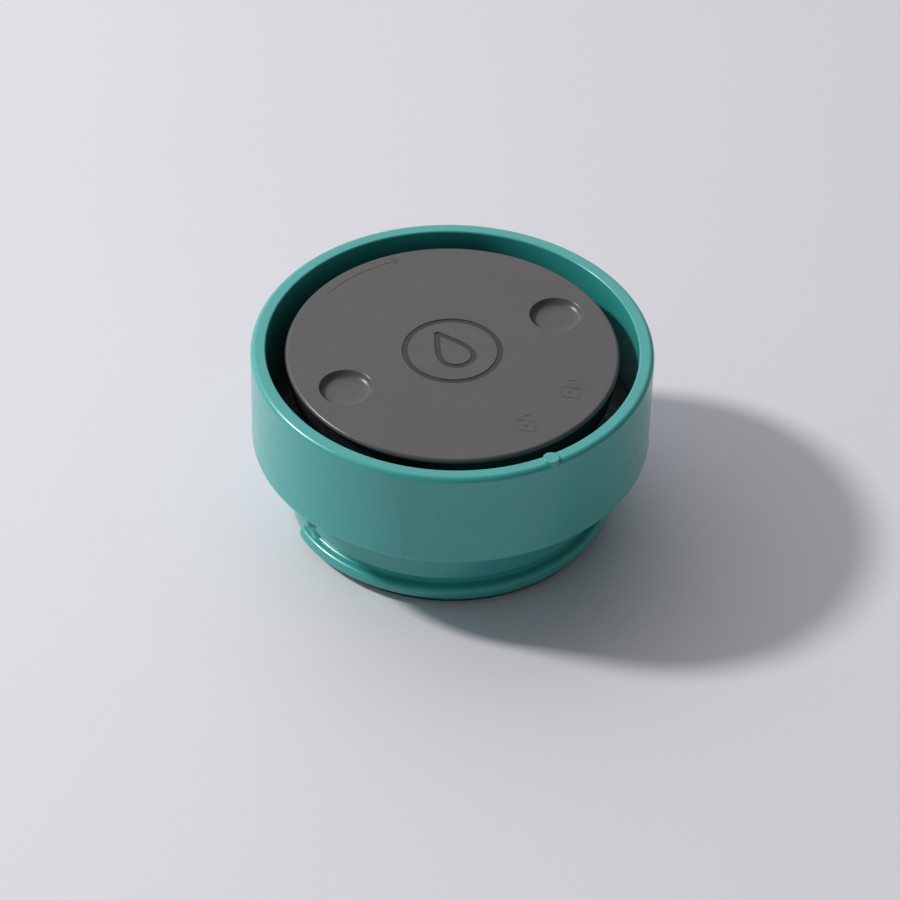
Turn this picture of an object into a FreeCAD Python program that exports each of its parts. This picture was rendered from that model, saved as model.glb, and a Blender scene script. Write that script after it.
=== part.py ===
"""Push-button drinking lid of a reusable travel cup, in millimetres.

The lid stands on its neck ring: the table is z = 0, the lid's axis is the Z axis.
Pressing the button moves the stem and the valve plate 4 mm down and opens a ring-shaped
way for the drink. Turning the button 30 degrees clockwise frees it from the stem.
"""

import FreeCAD, Part
import math
import os
import Sketcher

DIMENSIONS = {
    # small sizes used all over: how far features reach into or past each other, edge rounds
    "overlap": 0.6,
    "small_round": 0.4,
    # outer shell
    "lip_radius": 44.0,
    "band_radius": 43.9,
    "lip_height": 42.0,
    "rim_top": 43.45,
    "rim_inner_radius": 40.7,
    "rim_round_outer": 1.2,
    "rim_round_inner": 0.4,
    "rim_depth": 5.0,
    "chamber_radius": 40.75,
    "band_bottom": 19.6,
    "band_edge_round": 0.5,
    "shoulder_thickness": 1.8,
    "neck_radius": 35.3,
    "neck_bore": 33.7,
    "neck_end": 1.0,
    # thread on the neck
    "thread_crest_radius": 36.8,
    "thread_pitch": 5.3,
    "thread_turns": 1.028,
    "thread_start_angle": 205.0,
    "thread_start_height": 3.09,
    "thread_root": 34.4,
    "thread_below": 1.25,
    "thread_above": 1.2,
    "thread_crest_round": 1.2,
    "thread_edge": 0.3,
    # groove above the thread
    "groove_radius": 34.6,
    "groove_height": 2.2,
    "groove_top": 3.3,
    "groove_delay_angle": 17.0,
    "groove_turns": 0.9,
    # alignment pip on the rim
    "pip_angle": -59.5,
    "pip_centre_radius": 42.2,
    "pip_diameter": 3.6,
    "pip_bottom": 41.2,
    "pip_top": 43.85,
    "pip_round": 0.25,
    # silicone ring under the neck
    "cup_seal_radius": 34.7,
    "cup_seal_bore": 33.9,
    "seal_tongue_top": 1.5,
    "seal_tongue_outer": 34.5,
    "seal_tongue_inner": 34.1,
    "seal_round": 0.2,
    # inner body
    "insert_flange_radius": 40.4,
    "insert_flange_height": 1.5,
    "insert_radius": 33.4,
    "insert_bore": 31.0,
    "insert_chamfer": 0.8,
    "valve_seat_height": 11.0,
    "valve_seat_radius": 28.0,
    "valve_seat_thickness": 1.8,
    "insert_groove_bottom": 14.0,
    "insert_groove_width": 1.6,
    "insert_groove_radius": 32.25,
    "spoke_width": 3.0,
    "spoke_bottom": 12.8,
    "spoke_height": 4.6,
    "hub_radius": 13.8,
    "hub_bore": 11.8,
    "hub_lower_bore": 10.4,
    "hub_step": 18.0,
    "hub_top": 30.0,
    "hub_floor_thickness": 2.0,
    "hub_boss_radius": 6.5,
    "hub_boss_top": 16.6,
    "stem_bore": 3.1,
    "stem_seal_groove_bottom": 13.2,
    "stem_seal_groove_top": 15.4,
    "stem_seal_groove_radius": 5.1,
    "stem_seal_section": 1.0,
    "insert_seal_section": 0.7,
    # click mechanism
    "sleeve_radius": 11.7,
    "sleeve_bore": 9.7,
    "sleeve_top": 29.0,
    "slot_pitch": 32.0,
    "slot_height": 3.4,
    "slot_rise": 5.6,
    "slot_start_angle": 54.0,
    "slot_bottom": 20.2,
    "key_slot_angle": 82.5,
    "key_slot_width": 3.0,
    "key_slot_bottom": 18.6,
    "cap_ring_bore": 8.0,
    "cap_ring_thickness": 1.0,
    "cap_ring_collar_radius": 11.7,
    "cap_ring_collar_bore": 10.2,
    "rotor_bore": 4.1,
    "rotor_radius": 9.2,
    "rotor_bottom": 25.2,
    "rotor_height": 3.0,
    "peg_radius": 1.2,
    "peg_reach": 11.4,
    "clip_bottom": 28.5,
    "clip_height": 0.7,
    "clip_radius": 6.4,
    "clip_bore": 3.45,
    "clip_mouth": 4.6,
    "clip_mouth_angle": 200.0,
    # return spring
    "spring_radius": 8.2,
    "spring_wire": 0.45,
    "spring_length": 10.0,
    "spring_turns": 4.0,
    # stem
    "stem_radius": 3.0,
    "stem_foot_radius": 2.4,
    "stem_foot": 6.4,
    "stem_shoulder": 10.0,
    "collar_bottom": 23.0,
    "collar_top": 25.0,
    "collar_radius": 9.2,
    "key_width": 2.4,
    "key_reach": 11.4,
    "shaft_radius": 4.0,
    "clip_groove_radius": 3.4,
    "clip_groove_bottom": 28.45,
    "clip_groove_top": 29.25,
    "stem_top": 38.4,
    "lug_bottom": 36.95,
    "lug_top": 38.2,
    "lug_radius": 7.5,
    "lug_sweep": 50.0,
    # valve
    "plate_radius": 30.2,
    "plate_bottom": 8.2,
    "plate_top": 10.0,
    "plate_step_radius": 27.4,
    "plate_step_height": 9.2,
    "plate_boss_radius": 5.4,
    "plate_boss_bottom": 5.2,
    "plate_boss_round": 0.8,
    "plate_rib_width": 1.4,
    "plate_rib_bottom": 6.8,
    "valve_seal_radius": 31.0,
    "valve_seal_lip": 7.8,
    "valve_seal_shoulder": 0.6,
    # button
    "button_radius": 36.5,
    "button_top": 42.3,
    "button_underside": 40.1,
    "button_skirt_bottom": 35.4,
    "button_skirt_bore": 34.7,
    "button_edge_round": 0.7,
    "dimple_radius": 5.9,
    "dimple_depth": 0.9,
    "dimple_distance": 26.3,
    "dimple_angle": 30.5,
    "dimple_round": 0.6,
    "base_radius": 34.6,
    "base_bottom": 38.6,
    "socket_radius": 9.4,
    "socket_bore": 7.9,
    "socket_bottom": 35.8,
    "ledge_bore": 4.4,
    "ledge_top": 36.75,
    "ledge_start_angle": -85.0,
    "ledge_sweep": 88.0,
    "stop_bore": 6.0,
    "stop_sweep": 5.0,
    "stop_lock_angle": -33.0,
    "stop_open_angle": 58.0,
    "base_rib_width": 1.4,
    "base_rib_bottom": 37.4,
    "base_rib_start": 9.0,
    "base_rib_end": 33.0,
}

SPOKES = 4
PLATE_RIBS = 6
CLICK_WAYS = 3
BAYONET_SIDES = 2
BASE_RIBS = 6

doc = FreeCAD.newDocument("cup_lid")
sheet = doc.addObject("Spreadsheet::Sheet", "Dimensions")


class Size:
    """A length with the spreadsheet expression that drives it."""

    def __init__(self, value, text):
        self.value = value
        self.text = text

    def __add__(self, other):
        other = as_size(other)
        return Size(self.value + other.value, "(" + self.text + " + " + other.text + ")")

    def __sub__(self, other):
        other = as_size(other)
        return Size(self.value - other.value, "(" + self.text + " - " + other.text + ")")

    def __mul__(self, other):
        other = as_size(other)
        return Size(self.value * other.value, "(" + self.text + " * " + other.text + ")")


def as_size(value):
    if isinstance(value, Size):
        return value
    return Size(float(value), str(float(value)))


def fill_sheet():
    for row, (alias, value) in enumerate(DIMENSIONS.items(), start=1):
        sheet.set("A" + str(row), alias.replace("_", " "))
        sheet.set("B" + str(row), str(value))
        sheet.setAlias("B" + str(row), alias)
    doc.recompute()


def dim(alias):
    return Size(float(sheet.get(alias)), "Dimensions." + alias)


def new_body(name):
    body = doc.addObject("PartDesign::Body", name)
    body.Label = name
    return body


def origin_plane(body, role):
    for feature in body.Origin.OriginFeatures:
        if feature.Role == role:
            return feature
    raise RuntimeError("no plane " + role)


def new_sketch(body, name, role, offset=None):
    sketch = body.newObject("Sketcher::SketchObject", name)
    sketch.AttachmentSupport = (origin_plane(body, role), [""])
    sketch.MapMode = "FlatFace"
    if offset is not None:
        sketch.AttachmentOffset = offset
    return sketch


def turned(angle):
    """Offset that turns an upright sketch about the lid's axis."""
    rotation = FreeCAD.Rotation(FreeCAD.Vector(0, 1, 0), angle)
    return FreeCAD.Placement(FreeCAD.Vector(0, 0, 0), rotation)


def bind_point(sketch, geometry, end, x, y):
    """Hold one end of a line or arc, or the centre of a circle, at driven distances."""
    for kind, size in (("DistanceX", as_size(x)), ("DistanceY", as_size(y))):
        index = sketch.addConstraint(Sketcher.Constraint(kind, -1, 1, geometry, end, size.value))
        sketch.setExpression("Constraints[" + str(index) + "]", size.text)


def bind_radius(sketch, geometry, radius):
    size = as_size(radius)
    index = sketch.addConstraint(Sketcher.Constraint("Radius", geometry, size.value))
    sketch.setExpression("Constraints[" + str(index) + "]", size.text)


def draw_polygon(sketch, points):
    """Closed outline. A point is (x, y), or (x, y, radius) when a round edge leads to it.

    A positive radius bulges to the right of the direction of travel.
    """
    corners = [FreeCAD.Vector(as_size(p[0]).value, as_size(p[1]).value, 0) for p in points]
    ends = []
    for index, corner in enumerate(corners):
        before = corners[index - 1]
        if len(points[index]) == 3:
            ends.append(draw_arc(sketch, before, corner, as_size(points[index][2]).value))
        else:
            geometry = sketch.addGeometry(Part.LineSegment(before, corner), False)
            ends.append((geometry, 1, 2))
    for index, (geometry, start, _) in enumerate(ends):
        last, _, finish = ends[index - 1]
        sketch.addConstraint(Sketcher.Constraint("Coincident", last, finish, geometry, start))
    for index, (geometry, _, finish) in enumerate(ends):
        bind_point(sketch, geometry, finish, points[index][0], points[index][1])
        if len(points[index]) == 3:
            radius = as_size(points[index][2])
            bind_radius(sketch, geometry, radius if radius.value > 0 else radius * -1.0)


def draw_arc(sketch, start, finish, bulge):
    """Arc between two points; returns its index and which end is start and finish."""
    radius = abs(bulge)
    chord = finish - start
    middle = start + chord * 0.5
    reach = math.sqrt(max(radius**2 - (chord.Length / 2) ** 2, 0.0))
    left = FreeCAD.Vector(-chord.y, chord.x, 0).normalize()
    centre = middle + left * (reach if bulge > 0 else -reach)
    first, second = (start, finish) if bulge > 0 else (finish, start)
    first_angle = math.atan2(first.y - centre.y, first.x - centre.x)
    second_angle = math.atan2(second.y - centre.y, second.x - centre.x)
    circle = Part.Circle(centre, FreeCAD.Vector(0, 0, 1), radius)
    geometry = sketch.addGeometry(Part.ArcOfCircle(circle, first_angle, second_angle), False)
    return (geometry, 1, 2) if bulge > 0 else (geometry, 2, 1)


def draw_circle(sketch, x, y, radius):
    centre = FreeCAD.Vector(as_size(x).value, as_size(y).value, 0)
    circle = Part.Circle(centre, FreeCAD.Vector(0, 0, 1), as_size(radius).value)
    geometry = sketch.addGeometry(circle, False)
    bind_point(sketch, geometry, 3, x, y)
    bind_radius(sketch, geometry, radius)


def ring_points(inner, outer, bottom, top):
    return [(inner, bottom), (outer, bottom), (outer, top), (inner, top)]


def revolve(body, name, points, start_angle=0.0, sweep=None):
    """Turn an outline of (radius, height) points about the lid's axis."""
    sketch = new_sketch(body, name + "_outline", "XZ_Plane", turned(start_angle))
    draw_polygon(sketch, points)
    feature = body.newObject("PartDesign::Revolution", name)
    feature.Profile = sketch
    feature.ReferenceAxis = (sketch, ["V_Axis"])
    feature.Angle = 360.0
    if sweep is not None:
        feature.setExpression("Angle", sweep.text)
    doc.recompute()
    return feature


def raised(height):
    return FreeCAD.Placement(FreeCAD.Vector(0, 0, height), FreeCAD.Rotation())


def set_height(sketch, height):
    sketch.AttachmentOffset = raised(height.value)
    sketch.setExpression("AttachmentOffset.Base.z", height.text)


def pad(body, name, sketch, length):
    feature = body.newObject("PartDesign::Pad", name)
    feature.Profile = sketch
    feature.setExpression("Length", as_size(length).text)
    doc.recompute()
    return feature


def pocket(body, name, sketch, length):
    """Cut downwards from the sketch."""
    feature = body.newObject("PartDesign::Pocket", name)
    feature.Profile = sketch
    feature.setExpression("Length", as_size(length).text)
    doc.recompute()
    return feature


def polar(body, name, originals, count):
    feature = body.newObject("PartDesign::PolarPattern", name)
    feature.Originals = originals
    feature.Axis = (originals[0].Profile[0], ["N_Axis"])
    feature.Angle = 360.0
    feature.Occurrences = count
    body.Tip = feature
    doc.recompute()
    return feature


def upright_polar(body, name, originals, count):
    """Pattern for features whose sketch stands upright on the axis."""
    feature = body.newObject("PartDesign::PolarPattern", name)
    feature.Originals = originals
    feature.Axis = (originals[0].Profile[0], ["V_Axis"])
    feature.Angle = 360.0
    feature.Occurrences = count
    body.Tip = feature
    doc.recompute()
    return feature


def circle_edges(feature, radius, height):
    """Names of the round edges of this radius about the axis at this height."""
    names = []
    for index, edge in enumerate(feature.Shape.Edges, start=1):
        curve = edge.Curve
        if not isinstance(curve, Part.Circle):
            continue
        off_axis = math.hypot(curve.Center.x, curve.Center.y)
        if off_axis < 0.01 and abs(curve.Radius - radius) < 0.01 and abs(curve.Center.z - height) < 0.01:
            names.append("Edge" + str(index))
    return names


def fillet(body, name, base, edges, radius):
    feature = body.newObject("PartDesign::Fillet", name)
    feature.Base = (base, edges)
    feature.Radius = as_size(radius).value
    feature.setExpression("Radius", as_size(radius).text)
    body.Tip = feature
    doc.recompute()
    return feature


def bar_sketch(body, name, inner, outer, width, height, angle=0.0):
    """Flat bar that runs outwards from the axis, seen from above."""
    sketch = new_sketch(body, name, "XY_Plane")
    rotation = FreeCAD.Rotation(FreeCAD.Vector(0, 0, 1), angle)
    sketch.AttachmentOffset = FreeCAD.Placement(FreeCAD.Vector(0, 0, height.value), rotation)
    sketch.setExpression("AttachmentOffset.Base.z", height.text)
    half = width * 0.5
    draw_polygon(sketch, [(inner, half * -1.0), (outer, half * -1.0), (outer, half), (inner, half)])
    return sketch


def helix(body, kind, name, sketch, pitch, height, left_handed):
    feature = body.newObject("PartDesign::" + kind, name)
    feature.Profile = sketch
    feature.ReferenceAxis = (sketch, ["V_Axis"])
    feature.Mode = "pitch-height-angle"
    feature.Pitch = pitch.value
    feature.Height = height.value
    feature.setExpression("Pitch", pitch.text)
    feature.setExpression("Height", height.text)
    feature.Angle = 0.0
    feature.Growth = 0.0
    feature.LeftHanded = left_handed
    feature.Reversed = False
    body.Tip = feature
    doc.recompute()
    return feature


def build_lid_shell():
    body = new_body("lid_shell")
    neck = dim("neck_radius")
    bore = dim("neck_bore")
    band = dim("band_radius")
    band_round = dim("band_edge_round")
    lip = dim("lip_radius")
    mouth = dim("rim_inner_radius")
    rim_top = dim("rim_top")
    outer_round = dim("rim_round_outer")
    inner_round = dim("rim_round_inner")
    floor = dim("band_bottom") + dim("shoulder_thickness")
    outline = [
        (bore, dim("neck_end")),
        (dim("seal_tongue_inner"), dim("neck_end")),
        (dim("seal_tongue_inner"), dim("seal_tongue_top")),
        (dim("seal_tongue_outer"), dim("seal_tongue_top")),
        (dim("seal_tongue_outer"), dim("neck_end")),
        (neck, dim("neck_end")),
        (neck, dim("band_bottom")),
        (band - band_round, dim("band_bottom")),
        (band, dim("band_bottom") + band_round, band_round),
        (lip, dim("lip_height")),
        (lip, rim_top - outer_round),
        (lip - outer_round, rim_top, outer_round),
        (mouth + inner_round, rim_top),
        (mouth, rim_top - inner_round, inner_round),
        (dim("chamber_radius"), rim_top - dim("rim_depth")),
        (dim("chamber_radius"), floor),
        (bore, floor),
    ]
    revolve(body, "shell_wall", outline)

    pip_sketch = new_sketch(body, "pip_outline", "XY_Plane")
    angle = math.radians(DIMENSIONS["pip_angle"])
    pip_x = dim("pip_centre_radius") * math.cos(angle)
    pip_y = dim("pip_centre_radius") * math.sin(angle)
    set_height(pip_sketch, dim("pip_bottom"))
    draw_circle(pip_sketch, pip_x, pip_y, dim("pip_diameter") * 0.5)
    pip = pad(body, "alignment_pip", pip_sketch, dim("pip_top") - dim("pip_bottom"))
    top = []
    for index, edge in enumerate(pip.Shape.Edges, start=1):
        level = abs(edge.BoundBox.ZMin - dim("pip_top").value) < 0.01
        if level and abs(edge.BoundBox.ZMax - dim("pip_top").value) < 0.01:
            top.append("Edge" + str(index))
    fillet(body, "pip_round", pip, top, dim("pip_round"))

    groove_angle = DIMENSIONS["thread_start_angle"] + DIMENSIONS["groove_delay_angle"]
    groove_rise = dim("thread_pitch") * dim("groove_delay_angle") * (1.0 / 360.0)
    groove_top = dim("thread_start_height") + groove_rise + dim("groove_top")
    groove = new_sketch(body, "thread_groove_outline", "XZ_Plane", turned(groove_angle))
    draw_polygon(
        groove,
        ring_points(
            dim("groove_radius"),
            neck + dim("overlap"),
            groove_top - dim("groove_height"),
            groove_top,
        ),
    )
    height = dim("thread_pitch") * dim("groove_turns")
    helix(body, "SubtractiveHelix", "thread_groove", groove, dim("thread_pitch"), height, False)

    start = dim("thread_start_height")
    crest = dim("thread_crest_radius")
    root = dim("thread_root")
    edge = dim("thread_edge")
    low = start - dim("thread_below")
    high = start + dim("thread_above")
    thread = new_sketch(
        body, "thread_outline", "XZ_Plane", turned(DIMENSIONS["thread_start_angle"])
    )
    draw_polygon(
        thread,
        [
            (root, low - edge),
            (neck + edge, low - edge),
            (crest - edge, low),
            (crest, low + edge),
            (crest, high - dim("thread_crest_round")),
            (crest - dim("thread_crest_round"), high, dim("thread_crest_round")),
            (root, high),
        ],
    )
    height = dim("thread_pitch") * dim("thread_turns")
    helix(body, "AdditiveHelix", "neck_thread", thread, dim("thread_pitch"), height, False)
    return body


def build_cup_seal():
    body = new_body("cup_seal")
    seat = dim("neck_end")
    outline = [
        (dim("cup_seal_bore"), 0.0),
        (dim("cup_seal_radius"), 0.0),
        (dim("cup_seal_radius"), seat),
        (dim("seal_tongue_outer"), seat),
        (dim("seal_tongue_outer"), dim("seal_tongue_top")),
        (dim("seal_tongue_inner"), dim("seal_tongue_top")),
        (dim("seal_tongue_inner"), seat),
        (dim("cup_seal_bore"), seat),
    ]
    ring = revolve(body, "seal_ring", outline)
    edges = circle_edges(ring, dim("cup_seal_radius").value, 0.0)
    fillet(body, "seal_edge_round", ring, edges, dim("seal_round"))
    return body


def build_hub_insert():
    body = new_body("hub_insert")
    floor = dim("band_bottom") + dim("shoulder_thickness")
    flange_top = floor + dim("insert_flange_height")
    seat = dim("valve_seat_height")
    seat_top = seat + dim("valve_seat_thickness")
    groove = dim("insert_groove_bottom")
    groove_top = groove + dim("insert_groove_width")
    outline = [
        (dim("valve_seat_radius"), seat),
        (dim("insert_radius"), seat),
        (dim("insert_radius"), groove),
        (dim("insert_groove_radius"), groove),
        (dim("insert_groove_radius"), groove_top),
        (dim("insert_radius"), groove_top),
        (dim("insert_radius"), floor),
        (dim("insert_flange_radius"), floor),
        (dim("insert_flange_radius"), flange_top),
        (dim("insert_bore") + dim("insert_chamfer"), flange_top),
        (dim("insert_bore"), flange_top - dim("insert_chamfer")),
        (dim("insert_bore"), seat_top + dim("insert_chamfer")),
        (dim("insert_bore") - dim("insert_chamfer"), seat_top),
        (dim("valve_seat_radius") + dim("overlap"), seat_top),
        (dim("valve_seat_radius"), seat_top - dim("overlap")),
    ]
    revolve(body, "insert_wall", outline)
    spoke_sketch = bar_sketch(
        body,
        "spoke_outline",
        dim("hub_radius") - dim("overlap"),
        dim("insert_bore") + dim("overlap"),
        dim("spoke_width"),
        dim("spoke_bottom"),
    )
    spoke = pad(body, "spoke", spoke_sketch, dim("spoke_height"))
    polar(body, "spokes", [spoke], SPOKES)
    floor_top = seat + dim("hub_floor_thickness")
    hub = [
        (dim("stem_bore"), seat),
        (dim("hub_radius"), seat),
        (dim("hub_radius"), dim("hub_top")),
        (dim("hub_bore"), dim("hub_top")),
        (dim("hub_bore"), dim("hub_step")),
        (dim("hub_lower_bore"), dim("hub_step")),
        (dim("hub_lower_bore"), floor_top),
        (dim("hub_boss_radius"), floor_top),
        (dim("hub_boss_radius"), dim("hub_boss_top")),
        (dim("stem_bore"), dim("hub_boss_top")),
        (dim("stem_bore"), dim("stem_seal_groove_top")),
        (dim("stem_seal_groove_radius"), dim("stem_seal_groove_top")),
        (dim("stem_seal_groove_radius"), dim("stem_seal_groove_bottom")),
        (dim("stem_bore"), dim("stem_seal_groove_bottom")),
    ]
    tube = revolve(body, "hub_tube", hub)
    body.Tip = tube
    return body


def build_ring_seal(name, radius, section, height):
    body = new_body(name)
    sketch = new_sketch(body, "section", "XZ_Plane")
    draw_circle(sketch, radius, height, section)
    ring = body.newObject("PartDesign::Revolution", "ring")
    ring.Profile = sketch
    ring.ReferenceAxis = (sketch, ["V_Axis"])
    ring.Angle = 360.0
    body.Tip = ring
    doc.recompute()
    return body


def build_click_sleeve():
    body = new_body("click_sleeve")
    revolve(
        body,
        "sleeve_wall",
        ring_points(
            dim("sleeve_bore"), dim("sleeve_radius"), dim("hub_step"), dim("sleeve_top")
        ),
    )
    slot = new_sketch(
        body, "helical_slot_outline", "XZ_Plane", turned(DIMENSIONS["slot_start_angle"])
    )
    bottom = dim("slot_bottom")
    draw_polygon(
        slot,
        ring_points(
            dim("sleeve_bore") - dim("overlap"),
            dim("sleeve_radius") + dim("overlap"),
            bottom,
            bottom + dim("slot_height"),
        ),
    )
    cut = helix(
        body, "SubtractiveHelix", "helical_slot", slot, dim("slot_pitch"), dim("slot_rise"), True
    )
    upright_polar(body, "helical_slots", [cut], CLICK_WAYS)
    key = bar_sketch(
        body,
        "key_slot_outline",
        dim("sleeve_bore") - dim("overlap"),
        dim("sleeve_radius") + dim("overlap"),
        dim("key_slot_width"),
        dim("sleeve_top"),
        DIMENSIONS["key_slot_angle"],
    )
    key_cut = pocket(body, "key_slot", key, dim("sleeve_top") - dim("key_slot_bottom"))
    polar(body, "key_slots", [key_cut], CLICK_WAYS)
    return body


def build_hub_cap():
    body = new_body("hub_cap")
    bottom = dim("hub_top")
    top = bottom + dim("cap_ring_thickness")
    outline = [
        (dim("cap_ring_bore"), bottom),
        (dim("cap_ring_collar_bore"), bottom),
        (dim("cap_ring_collar_bore"), dim("sleeve_top")),
        (dim("cap_ring_collar_radius"), dim("sleeve_top")),
        (dim("cap_ring_collar_radius"), bottom),
        (dim("hub_radius"), bottom),
        (dim("hub_radius"), top),
        (dim("cap_ring_bore"), top),
    ]
    ring = revolve(body, "cap_ring", outline)
    edges = circle_edges(ring, dim("hub_radius").value, top.value)
    fillet(body, "cap_ring_round", ring, edges, dim("small_round"))
    return body


def build_return_spring():
    body = new_body("return_spring")
    wire = dim("spring_wire")
    bottom = dim("valve_seat_height") + dim("hub_floor_thickness") + wire
    top = bottom + dim("spring_length") - wire * 2.0
    coil_sketch = new_sketch(body, "coil_section", "XZ_Plane")
    draw_circle(coil_sketch, dim("spring_radius"), bottom, wire)
    height = top - bottom
    pitch = Size(
        height.value / DIMENSIONS["spring_turns"],
        "(" + height.text + " / Dimensions.spring_turns)",
    )
    helix(body, "AdditiveHelix", "coil", coil_sketch, pitch, height, False)
    return body


def build_plunger_stem():
    body = new_body("plunger_stem")
    outline = [
        (0.0, dim("stem_foot")),
        (dim("stem_foot_radius"), dim("stem_foot")),
        (dim("stem_foot_radius"), dim("stem_shoulder")),
        (dim("stem_radius"), dim("stem_shoulder")),
        (dim("stem_radius"), dim("collar_bottom")),
        (dim("collar_radius"), dim("collar_bottom")),
        (dim("collar_radius"), dim("collar_top")),
        (dim("shaft_radius"), dim("collar_top")),
        (dim("shaft_radius"), dim("clip_groove_bottom")),
        (dim("clip_groove_radius"), dim("clip_groove_bottom")),
        (dim("clip_groove_radius"), dim("clip_groove_top")),
        (dim("shaft_radius"), dim("clip_groove_top")),
        (dim("shaft_radius"), dim("stem_top")),
        (0.0, dim("stem_top")),
    ]
    revolve(body, "stem_shaft", outline)
    key_sketch = bar_sketch(
        body,
        "key_outline",
        dim("collar_radius") - dim("overlap"),
        dim("key_reach"),
        dim("key_width"),
        dim("collar_bottom"),
        DIMENSIONS["key_slot_angle"],
    )
    key = pad(body, "guide_key", key_sketch, dim("collar_top") - dim("collar_bottom"))
    polar(body, "guide_keys", [key], CLICK_WAYS)
    lug = revolve(
        body,
        "bayonet_lug",
        ring_points(
            dim("shaft_radius") - dim("overlap"),
            dim("lug_radius"),
            dim("lug_bottom"),
            dim("lug_top"),
        ),
        DIMENSIONS["lug_sweep"] * -0.5,
        dim("lug_sweep"),
    )
    upright_polar(body, "bayonet_lugs", [lug], BAYONET_SIDES)
    return body


def build_rotor_clip():
    body = new_body("rotor_clip")
    ring = revolve(
        body,
        "clip_ring",
        ring_points(
            dim("clip_bore"),
            dim("clip_radius"),
            dim("clip_bottom"),
            dim("clip_bottom") + dim("clip_height"),
        ),
    )
    mouth = bar_sketch(
        body,
        "clip_mouth_outline",
        as_size(0.0),
        dim("clip_radius") + dim("overlap"),
        dim("clip_mouth"),
        dim("clip_bottom") + dim("clip_height"),
        DIMENSIONS["clip_mouth_angle"],
    )
    body.Tip = pocket(body, "clip_mouth", mouth, dim("clip_height"))
    return body


def build_click_rotor():
    body = new_body("click_rotor")
    bottom = dim("rotor_bottom")
    top = bottom + dim("rotor_height")
    revolve(
        body,
        "rotor_ring",
        ring_points(dim("rotor_bore"), dim("rotor_radius"), bottom, top),
    )
    peg_sketch = new_sketch(body, "peg_outline", "YZ_Plane")
    rise = dim("rotor_radius") - dim("overlap")
    peg_sketch.AttachmentOffset = raised(rise.value)
    peg_sketch.setExpression("AttachmentOffset.Base.z", rise.text)
    middle = bottom + dim("rotor_height") * 0.5
    draw_circle(peg_sketch, 0.0, middle, dim("peg_radius"))
    peg = pad(body, "rotor_peg", peg_sketch, dim("peg_reach") - rise)
    upright_polar(body, "rotor_pegs", [peg], CLICK_WAYS)
    return body


def build_valve_plate():
    body = new_body("valve_plate")
    outline = [
        (0.0, dim("plate_boss_bottom")),
        (dim("plate_boss_radius"), dim("plate_boss_bottom")),
        (dim("plate_boss_radius"), dim("plate_bottom")),
        (dim("plate_radius"), dim("plate_bottom")),
        (dim("plate_radius"), dim("plate_step_height")),
        (dim("plate_step_radius"), dim("plate_step_height")),
        (dim("plate_step_radius"), dim("plate_top")),
        (dim("stem_foot_radius"), dim("plate_top")),
        (dim("stem_foot_radius"), dim("stem_foot")),
        (0.0, dim("stem_foot")),
    ]
    disc = revolve(body, "plate_disc", outline)
    edges = circle_edges(disc, dim("plate_boss_radius").value, dim("plate_boss_bottom").value)
    fillet(body, "boss_round", disc, edges, dim("plate_boss_round"))
    rib_sketch = bar_sketch(
        body,
        "rib_outline",
        dim("plate_boss_radius") - dim("overlap"),
        dim("plate_step_radius") - dim("overlap"),
        dim("plate_rib_width"),
        dim("plate_rib_bottom"),
    )
    rib = pad(body, "plate_rib", rib_sketch, dim("plate_bottom") - dim("plate_rib_bottom"))
    polar(body, "plate_ribs", [rib], PLATE_RIBS)
    return body


def build_valve_seal():
    body = new_body("valve_seal")
    seat = dim("valve_seat_height")
    shoulder = dim("valve_seal_shoulder")
    outline = [
        (dim("plate_step_radius"), dim("plate_step_height")),
        (dim("plate_radius"), dim("plate_step_height")),
        (dim("plate_radius"), dim("valve_seal_lip")),
        (dim("valve_seal_radius"), dim("valve_seal_lip")),
        (dim("valve_seal_radius"), seat - shoulder),
        (dim("valve_seal_radius") - shoulder, seat),
        (dim("plate_step_radius") + shoulder, seat),
        (dim("plate_step_radius"), seat - shoulder),
    ]
    body.Tip = revolve(body, "valve_ring", outline)
    return body


def build_button_cap():
    body = new_body("button_cap")
    outline = [
        (0.0, dim("button_underside")),
        (dim("button_skirt_bore"), dim("button_underside")),
        (dim("button_skirt_bore"), dim("button_skirt_bottom")),
        (dim("button_radius"), dim("button_skirt_bottom")),
        (dim("button_radius"), dim("button_top")),
        (0.0, dim("button_top")),
    ]
    disc = revolve(body, "cap_disc", outline)
    edges = circle_edges(disc, dim("button_radius").value, dim("button_top").value)
    fillet(body, "cap_edge_round", disc, edges, dim("button_edge_round"))
    sketch = new_sketch(body, "dimple_outline", "XY_Plane")
    set_height(sketch, dim("button_top"))
    angle = math.radians(DIMENSIONS["dimple_angle"])
    dimple_x = dim("dimple_distance") * math.cos(angle)
    dimple_y = dim("dimple_distance") * math.sin(angle)
    draw_circle(sketch, dimple_x, dimple_y, dim("dimple_radius"))
    dimple = pocket(body, "finger_dimple", sketch, dim("dimple_depth"))
    pattern = polar(body, "finger_dimples", [dimple], BAYONET_SIDES)
    floor = dim("button_top").value - dim("dimple_depth").value
    rims = []
    for index, edge in enumerate(pattern.Shape.Edges, start=1):
        curve = edge.Curve
        if isinstance(curve, Part.Circle) and abs(curve.Center.z - floor) < 0.01:
            rims.append("Edge" + str(index))
    fillet(body, "dimple_round", pattern, rims, dim("dimple_round"))
    return body


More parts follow.
